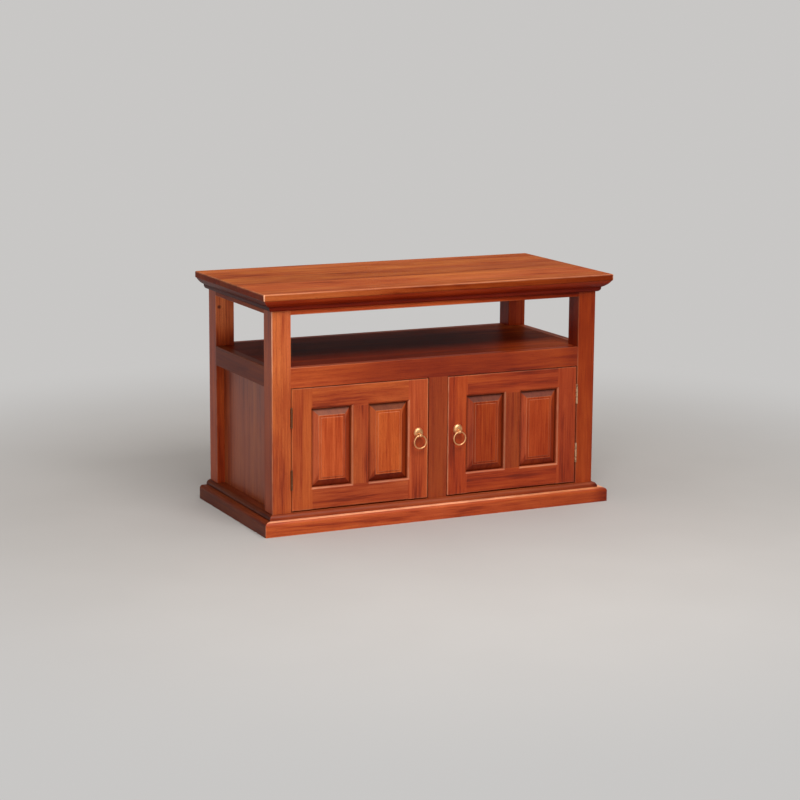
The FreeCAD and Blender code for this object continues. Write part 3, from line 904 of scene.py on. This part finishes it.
def joined(name, shapes, material, body):
    """Several shapes as one piece that rides on a body."""
    points = [np.reshape(shape[0], (-1, 3)) for shape in shapes]
    starts = np.cumsum([0] + [len(part) for part in points])
    faces = []
    for shape, start in zip(shapes, starts):
        faces += [[start + corner for corner in face] for face in shape[1]]
    made = piece(name, np.concatenate(points), faces, material, False)
    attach(made, body)
    return made


def door_openings(side):
    """The two openings in a door's frame from left to right, each as left, right, bottom and top."""
    names = ("hinge_stile", "muntin", "lock_stile", "bottom_rail", "top_rail")
    hinge, muntin, lock, bottom, top = [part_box("door_" + side + "_" + name) for name in names]
    first, last = (hinge, lock) if side == "left" else (lock, hinge)
    low, high = bottom[1].z, top[0].z
    return (first[1].x, muntin[0].x, low, high), (muntin[1].x, last[0].x, low, high)


def door_boards(side):
    """Boards of one door: its frame round two openings, and its outer and inner panels."""
    look = DOOR_LOOKS[side]
    openings = door_openings(side)
    outer_opening, inner_opening = openings if side == "left" else openings[::-1]
    outer, inner = (LEFT, RIGHT) if side == "left" else (RIGHT, LEFT)
    top_end, bottom_end = Arris(TOP, FRONT, 0.25), Arris(BOTTOM, FRONT, 0.15)
    hinge_arrises = (Arris(outer, FRONT, 0.2), top_end, bottom_end)
    # The lock stile's inner arris carries wear and a painted highlight
    lock_arrises = (Arris(inner, FRONT, 0.65), top_end, bottom_end)
    framing = {"orange": look.orange, "openings": openings}
    panelling = {"orange": look.orange, "gloss": 0.6}
    boards = {
        "hinge_stile": Board(Z, 0.95, arrises=hinge_arrises, **framing),
        "lock_stile": Board(Z, 1.06, arrises=lock_arrises, **framing),
        "muntin": Board(Z, look.muntin, **framing),
        "top_rail": Board(X, 0.96, arrises=(top_end,), **framing),
        "bottom_rail": Board(X, look.bottom_rail, arrises=(bottom_end,), **framing),
        "outer_panel": Board(
            Z, look.outer_panel, openings=(outer_opening,), bevels=look.outer_bevels, **panelling
        ),
        "inner_panel": Board(
            Z, look.inner_panel, openings=(inner_opening,), bevels=look.inner_bevels, **panelling
        ),
    }
    return {
        "door_" + side + "_" + name: board._replace(tone=board.tone * look.tone)
        for name, board in boards.items()
    }


def even_tone(face, factor):
    """One tone all over a face."""
    return FaceTone(face, X, 0.0, 1.0, factor, factor)


def carcass_boards():
    """The top, the shelf, the centre stile, the side panels and the posts. The right end is darker, as
    painted shade.
    """
    rims = tuple(Arris(TOP, face, 0.3) for face in (FRONT, REAR, LEFT, RIGHT))
    # The top's corners carry wear and a painted highlight
    corners = tuple(Arris(end, face, 1.4) for end in (LEFT, RIGHT) for face in (FRONT, REAR))
    rear_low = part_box("post_rear_left")[0]
    return {
        "top_board": Board(
            X, tone=1.03, orange=1.28, planks=4, gloss=0.2, arrises=rims + corners, reach=(0.0012, 0.0040),
            # Painted shade on the top's front edge, darker to the right, and on its left end
            faces=(FaceTone(FRONT, X, -0.5, 0.5, 0.92, 0.43), even_tone(LEFT, 0.46), even_tone(RIGHT, 0.6)),
            shades=(Shade(Y, -0.13, -0.19, 1.07),),
        ),
        # The shelf darkens towards the left as painted shade of the top over it
        "shelf_board": Board(
            X, tone=0.76, orange=0.98, planks=4, gloss=0.1, shades=(Shade(X, 0.36, 0.10, 0.47),)
        ),
        "centre_stile": Board(Z, tone=0.62, orange=0.77),
        "side_panel_left": Board(
            Z, tone=0.73, orange=1.06, planks=3, gloss=1.7, shades=(Shade(Y, 0.128, 0.142, 1.20),)
        ),
        "side_panel_right": Board(Z, tone=0.76, orange=1.04, planks=3, gloss=1.6),
        # Wear with a painted highlight on its left arris, strongest high up; painted shade on its left face
        # and painted light on its upper part
        "post_front_left": Board(
            Z, tone=1.0, orange=1.02, arrises=(Arris(LEFT, FRONT, 0.9),),
            fading=(Shade(Z, 0.48, 0.34, 0.45),), faces=(even_tone(LEFT, 0.76),),
            shades=(Shade(Z, 0.34, 0.44, 1.17),),
        ),
        # Painted shade: a darker tone, on its left face and on its upper part
        "post_front_right": Board(
            Z, tone=0.73, orange=0.74, gloss=0.6,
            arrises=(Arris(LEFT, FRONT, 0.3), Arris(RIGHT, FRONT, 0.5)),
            faces=(even_tone(LEFT, 0.66),), shades=(Shade(Z, 0.34, 0.46, 0.77),),
        ),
        # Painted light on the upper front face, painted shade below it and on the left face
        "post_rear_left": Board(
            Z, tone=0.98, orange=0.88, arrises=(Arris(LEFT, FRONT, 0.3), Arris(LEFT, REAR, 0.5)),
            faces=(FaceTone(FRONT, Z, 0.405, 0.475, 0.84, 1.80), even_tone(LEFT, 0.88)),
            knot=(rear_low.x + KNOT_FROM_LEFT, rear_low.y, KNOT_HEIGHT),
        ),
        # Painted shade on its left face, which looks into the bay
        "post_rear_right": Board(
            Z, tone=1.02, orange=0.68, gloss=0.5, arrises=(Arris(RIGHT, REAR, 0.5),),
            faces=(even_tone(LEFT, 0.50),),
        ),
    }


def rail_boards(side):
    """The rails and mouldings of one side. The left is duller, and darker as painted shade, and the rear has
    no mouldings.
    """
    outer = SIDE_FACES[side]
    grain = X if side in ("front", "rear") else Y
    dim, frieze_dim, gloss = 1.0, 1.0, 1.0
    if side == "left":
        dim, frieze_dim, gloss = LEFT_PAINTED_SHADE, LEFT_FRIEZE_PAINTED_SHADE, LEFT_GLOSS
    shades = FRONT_PAINTED_SHADE if side == "front" else {name: () for name in FRONT_PAINTED_SHADE}
    # Painted light on the top of the right mid rail, and on the front sill, which is also wear
    bright_top = (even_tone(TOP, 1.5),)
    boards = {
        "frieze_rail": Board(
            grain, tone=1.04 * frieze_dim, orange=0.88, gloss=0.4, arrises=(Arris(BOTTOM, outer, 0.3),),
            shades=shades["frieze_rail"],
        ),
        "mid_rail": Board(
            grain, tone=0.92 * dim, orange=0.88, gloss=gloss, arrises=(Arris(TOP, outer, 0.2),),
            faces=bright_top if side == "right" else (), shades=shades["mid_rail"],
        ),
        "bottom_rail": Board(
            grain, tone=0.90 * dim, orange=0.95, gloss=gloss, faces=bright_top if side == "front" else ()
        ),
    }
    if side != "rear":
        # The plinth's ledge is pale with wear and a painted highlight, less to the left
        ledge = () if side == "left" else (Arris(TOP, TOP, 1.4), Arris(LEFT, FRONT, 0.9))
        boards["cornice"] = Board(
            grain, tone=0.88 * dim, orange=0.58, gloss=0.4, shades=(CORNICE_SHADOW,) + shades["cornice"]
        )
        boards["plinth"] = Board(
            grain, tone=PLINTH_TONES[side], gloss=gloss, arrises=ledge, reach=(0.0004, 0.0012),
            fading=(Shade(X, 0.0, -0.40, 0.55),) if side == "front" else (), shades=shades["plinth"],
        )
        boards["plinth_bead"] = Board(
            grain, tone=BEAD_TONES[side], gloss=gloss, shades=shades["plinth_bead"]
        )
    return {name + "_" + side: board for name, board in boards.items()}


def coat(node, material):
    """Puts a material on a CAD node."""
    for slot in frame["nodes"][node].material_slots:
        slot.material = material


def finish_wood():
    """Gives every lacquered board its own piece of wood."""
    draws = np.random.default_rng(WOOD_SEED)
    boards = carcass_boards()
    for side in SIDE_FACES:
        boards.update(rail_boards(side))
    for side in DOOR_LOOKS:
        boards.update(door_boards(side))
    for node, board in boards.items():
        seed = draws.uniform(-SEED_REACH, SEED_REACH, 3).tolist()
        tone = board.tone * draws.uniform(1.0 - TONE_SPREAD, 1.0 + TONE_SPREAD)
        coat(node, lacquered_wood(node, board._replace(tone=tone), seed))


def finish_fixings():
    """Brass, steel, plastic and the plainer woods on the CAD nodes that have them, by their slots."""
    pulls = brass("pull_brass", PULL_BRASS, 0.34)
    finishes = {
        "brass": brass("hinge_brass", HINGE_BRASS, 0.38),
        "strike_steel": zinc(),
        "catch_plastic": catch_plastic(),
        "cleat_wood": plain_wood("cleat_pine", PINE, 0.62),
        "plywood": plain_wood("stained_ply", PLY, 0.45),
    }
    for subpart in frame["record"]["subparts"]:
        node, slot = subpart["node"], subpart["material_slot"]
        if slot in finishes:
            coat(node, pulls if "pull_" in node else finishes[slot])
    return finishes


def add_hinge_screws(metal):
    """Three screws through every hinge leaf, on the face that shows when the door is open."""
    low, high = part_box("hinge_leaves_fixed")
    for side, sign in (("left", -1.0), ("right", 1.0)):
        door_low, door_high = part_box("door_" + side + "_hinge_stile")
        post_low, post_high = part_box("post_front_" + side)
        door_face = door_low.x if side == "left" else door_high.x
        post_face = post_high.x if side == "left" else post_low.x
        middle_y = (post_low.y + high.y) / 2.0
        for body, face, outward in (("cabinet", post_face, -sign), ("door_" + side, door_face, sign)):
            heads = []
            for start in (low.z, high.z - HINGE_LENGTH):
                for step, aside in HINGE_SCREWS:
                    place = (face, middle_y + aside, start + step * HINGE_LENGTH)
                    heads.append(placed(screw_head(), place, (outward, 0.0, 0.0), step * HINGE_SCREW_TURN))
            joined("hinge_screws_" + body + "_" + side, heads, metal, body)


def add_strike_screws(metal):
    """Two screws through each strike plate, sunk so that their crowns stay clear of the catch."""
    for side in ("left", "right"):
        low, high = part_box("door_" + side + "_catch_strike")
        heads = []
        for step in STRIKE_SCREWS:
            place = (low.x + step * (high.x - low.x), high.y - STRIKE_SCREW_SINK, (low.z + high.z) / 2.0)
            heads.append(placed(screw_head(), place, (0.0, 1.0, 0.0), step * STRIKE_SCREW_TURN))
        joined("strike_screws_" + side, heads, metal, "door_" + side)


def add_pull_nuts(metal):
    """A washer and a hexagon nut on each pull's stud, against the back of the door."""
    backward = (0.0, 1.0, 0.0)
    for side in ("left", "right"):
        low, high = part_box("door_" + side + "_pull_rosette")
        door_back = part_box("door_" + side + "_lock_stile")[1].y
        stud_x = (low.x + high.x) / 2.0
        stud_z = high.z - (high.x - low.x) / 2.0
        shapes = [
            placed(washer(), (stud_x, door_back, stud_z), backward),
            placed(nut(), (stud_x, door_back + WASHER_HEIGHT, stud_z), backward, NUT_TURN),
        ]
        joined("pull_nut_" + side, shapes, metal, "door_" + side)


def build_floor():
    """A dish round the stand: a flat floor that sweeps up a quarter circle into a wall, carried round Z."""
    bend = np.linspace(0.0, 0.5 * np.pi, SWEEP_STEPS)
    sweep_out = FLOOR_RADIUS + SWEEP_RADIUS * np.sin(bend)
    sweep_up = SWEEP_RADIUS * (1.0 - np.cos(bend))
    radius = np.concatenate([FLOOR_RINGS, sweep_out, [FLOOR_RADIUS + SWEEP_RADIUS]])
    height = np.concatenate([np.zeros(len(FLOOR_RINGS)), sweep_up, [WALL_TOP]])
    points = carried_round(radius, height, full_turn(FLOOR_SIDES))
    faces = grid_faces(FLOOR_SIDES, len(radius), True, False)[:, ::-1].tolist()
    faces.append(list(range(0, FLOOR_SIDES * len(radius), len(radius))))
    piece("floor", points, faces, floor_finish(), True)


def build_light():
    """A large soft lamp above the front, a window low on the left, and a sky that is dim at the horizon."""
    for name, lamp in LAMPS.items():
        data = bpy.data.lights.new(name, "AREA")
        data.shape = "ELLIPSE"
        data.size = lamp.width
        data.size_y = lamp.height
        data.energy = lamp.power
        made = bpy.data.objects.new(name, data)
        made.location = lamp.place
        made.rotation_mode = "QUATERNION"
        made.rotation_quaternion = (lamp.aim - lamp.place).to_track_quat("-Z", "Y")
        bpy.context.collection.objects.link(made)

    world = bpy.data.worlds.new("studio")
    bpy.context.scene.world = world
    nodes = Nodes(world, "Generated")
    sky = nodes.mix(nodes.axes[Z].rise(*SKY_RANGE), rgba(SKY_HORIZON), rgba(SKY_ZENITH))
    nodes.output("ShaderNodeOutputWorld", nodes.node("ShaderNodeBackground", {}, {"Color": sky}))


def build_camera():
    """Stands the camera at its azimuth and elevation round the aim point, rolled a little."""
    azimuth = math.radians(CAMERA_AZIMUTH)
    elevation = math.radians(CAMERA_ELEVATION)
    roll = math.radians(CAMERA_ROLL)
    flat = math.cos(elevation)
    towards = Vector((math.sin(azimuth) * flat, -math.cos(azimuth) * flat, math.sin(elevation)))
    right = Vector((math.cos(azimuth), math.sin(azimuth), 0.0))
    up = towards.cross(right)
    rolled_right = right * math.cos(roll) + up * math.sin(roll)
    rolled_up = up * math.cos(roll) - right * math.sin(roll)
    turn = Matrix((rolled_right, rolled_up, towards)).transposed()
    data = bpy.data.cameras.new("camera")
    data.sensor_width = SENSOR_WIDTH_MM
    data.lens = LENS_MM
    camera = bpy.data.objects.new("camera", data)
    camera.matrix_world = Matrix.Translation(CAMERA_AIM + towards * CAMERA_DISTANCE) @ turn.to_4x4()
    bpy.context.collection.objects.link(camera)
    bpy.context.scene.camera = camera


finish_wood()
metals = finish_fixings()
add_hinge_screws(metals["brass"])
add_strike_screws(metals["strike_steel"])
add_pull_nuts(metals["brass"])
build_floor()
build_light()
build_camera()
bpy.context.scene.view_settings.view_transform = "Standard"
